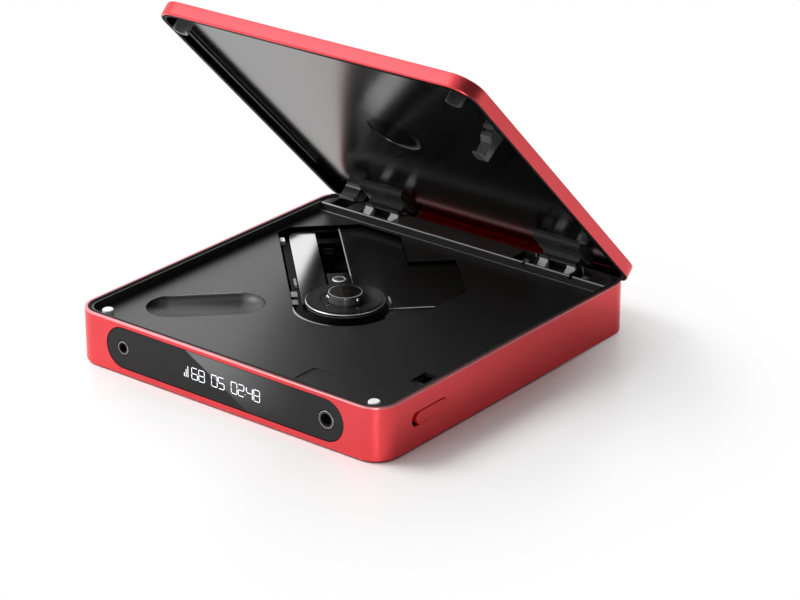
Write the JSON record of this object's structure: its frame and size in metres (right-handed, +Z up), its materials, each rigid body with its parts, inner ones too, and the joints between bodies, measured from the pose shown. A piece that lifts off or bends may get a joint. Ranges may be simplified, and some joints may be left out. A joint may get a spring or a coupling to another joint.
{
  "type": "portable cd player",
  "caption": "Portable disc player with a sprung, hinged lid standing open over a turntable, laser pickup and deck.",
  "frame": {"origin": "centre of the bounding box's bottom face with the lid open at rest, on the plane of the feet", "axes": "+X to the player's right, +Y to its rear where the hinge is, +Z up"},
  "size_m": [0.1508, 0.1622, 0.1317],
  "materials": {
    "red_shell": "satin red anodised metal look, fine matt grain",
    "satin_black": "satin black moulded plastic",
    "gloss_black": "polished black plastic",
    "window_black": "polished dark window over a display",
    "foot_rubber": "matt black rubber",
    "white_rubber": "smooth white rubber",
    "bright_steel": "polished steel",
    "motor_steel": "plain plated steel",
    "jack_nickel": "nickel plate",
    "circuit_board": "green solder mask",
    "battery_wrap": "plain blue shrink wrap",
    "lens_glass": "coated lens with a blue tint"
  },
  "bodies": {
    "base": {"body_shell": "red_shell", "bottom_cover": "satin_black", "foot_1": "foot_rubber", "foot_2": "foot_rubber", "foot_3": "foot_rubber", "foot_4": "foot_rubber", "deck_plate": "satin_black", "lid_rest_left": "white_rubber", "lid_rest_right": "white_rubber", "hinge_bar": "satin_black", "hinge_pin_left": "bright_steel", "hinge_pin_right": "bright_steel", "torsion_spring_inner": "bright_steel", "torsion_spring_outer": "bright_steel", "front_window": "window_black", "display_module": "satin_black", "jack_small": "jack_nickel", "jack_large": "jack_nickel", "key_board": "circuit_board", "mechanism_cover": "gloss_black", "chassis": "satin_black", "guide_rod": "bright_steel", "grommet_1": "foot_rubber", "grommet_2": "foot_rubber", "grommet_3": "foot_rubber", "spindle_motor": "motor_steel", "feed_motor": "motor_steel", "main_board": "circuit_board", "battery": "battery_wrap", "charging_socket": "motor_steel", "charging_board": "circuit_board"},
    "lid": {"lid_shell": "red_shell", "lid_liner": "satin_black", "hinge_arm_left": "satin_black", "hinge_arm_right": "satin_black", "edge_tab": "satin_black", "latch_hook": "satin_black", "rest_cup_left": "satin_black", "rest_cup_right": "satin_black", "lid_stud": "satin_black"},
    "turntable": {"platter": "gloss_black", "platter_mat": "foot_rubber", "hub_cap": "gloss_black", "chuck_ball_1": "bright_steel", "chuck_ball_2": "bright_steel", "chuck_ball_3": "bright_steel"},
    "pickup": {"pickup_sled": "satin_black", "lens_holder": "gloss_black", "lens_ring": "bright_steel", "objective_lens": "lens_glass"},
    "lead_screw": {"lead_screw": "bright_steel"},
    "open_slider": {"open_slider": "red_shell", "latch_plate": "motor_steel"},
    "key_volume_down": {"key_volume_down": "red_shell"},
    "key_volume_up": {"key_volume_up": "red_shell"},
    "key_previous": {"key_previous": "red_shell"},
    "key_play": {"key_play": "red_shell"},
    "key_next": {"key_next": "red_shell"}
  },
  "joints": [
    {"name": "lid_hinge", "type": "hinge", "parent": "base", "child": "lid", "pos_m": [0, 0.06987, 0.0167], "axis": [-1, 0, 0], "range_deg": [-45.3, 0], "stiffness_Nm_per_rad": 0.06, "springref_deg": 91.67},
    {"name": "open_slide", "type": "slide", "parent": "base", "child": "open_slider", "axis": [0, -1, 0], "range_m": [0, 0.0022], "stiffness_N_per_m": 250, "springref_m": -0.003},
    {"name": "disc_spin", "type": "hinge", "parent": "base", "child": "turntable", "pos_m": [-0.0008, -0.00833, 0.02], "axis": [0, 0, 1], "continuous": true},
    {"name": "pickup_slide", "type": "slide", "parent": "base", "child": "pickup", "axis": [-0.7071, 0.7071, 0], "range_m": [0, 0.032]},
    {"name": "lead_screw_spin", "type": "hinge", "parent": "base", "child": "lead_screw", "pos_m": [-0.01261, 0.02228, 0.009], "axis": [-0.7071, 0.7071, 0], "range_deg": [0, 3840.5]},
    {"name": "volume_down_press", "type": "slide", "parent": "base", "child": "key_volume_down", "axis": [1, 0, 0], "range_m": [0, 0.0004], "stiffness_N_per_m": 400, "springref_m": -0.002},
    {"name": "volume_up_press", "type": "slide", "parent": "base", "child": "key_volume_up", "axis": [1, 0, 0], "range_m": [0, 0.0004], "stiffness_N_per_m": 400, "springref_m": -0.002},
    {"name": "previous_press", "type": "slide", "parent": "base", "child": "key_previous", "axis": [1, 0, 0], "range_m": [0, 0.0004], "stiffness_N_per_m": 400, "springref_m": -0.002},
    {"name": "play_press", "type": "slide", "parent": "base", "child": "key_play", "axis": [1, 0, 0], "range_m": [0, 0.0004], "stiffness_N_per_m": 400, "springref_m": -0.002},
    {"name": "next_press", "type": "slide", "parent": "base", "child": "key_next", "axis": [1, 0, 0], "range_m": [0, 0.0004], "stiffness_N_per_m": 400, "springref_m": -0.002}
  ],
  "couplings": [
    {"joint": "lead_screw_spin", "follows": "pickup_slide", "rad_per_m": 2094.4}
  ]
}
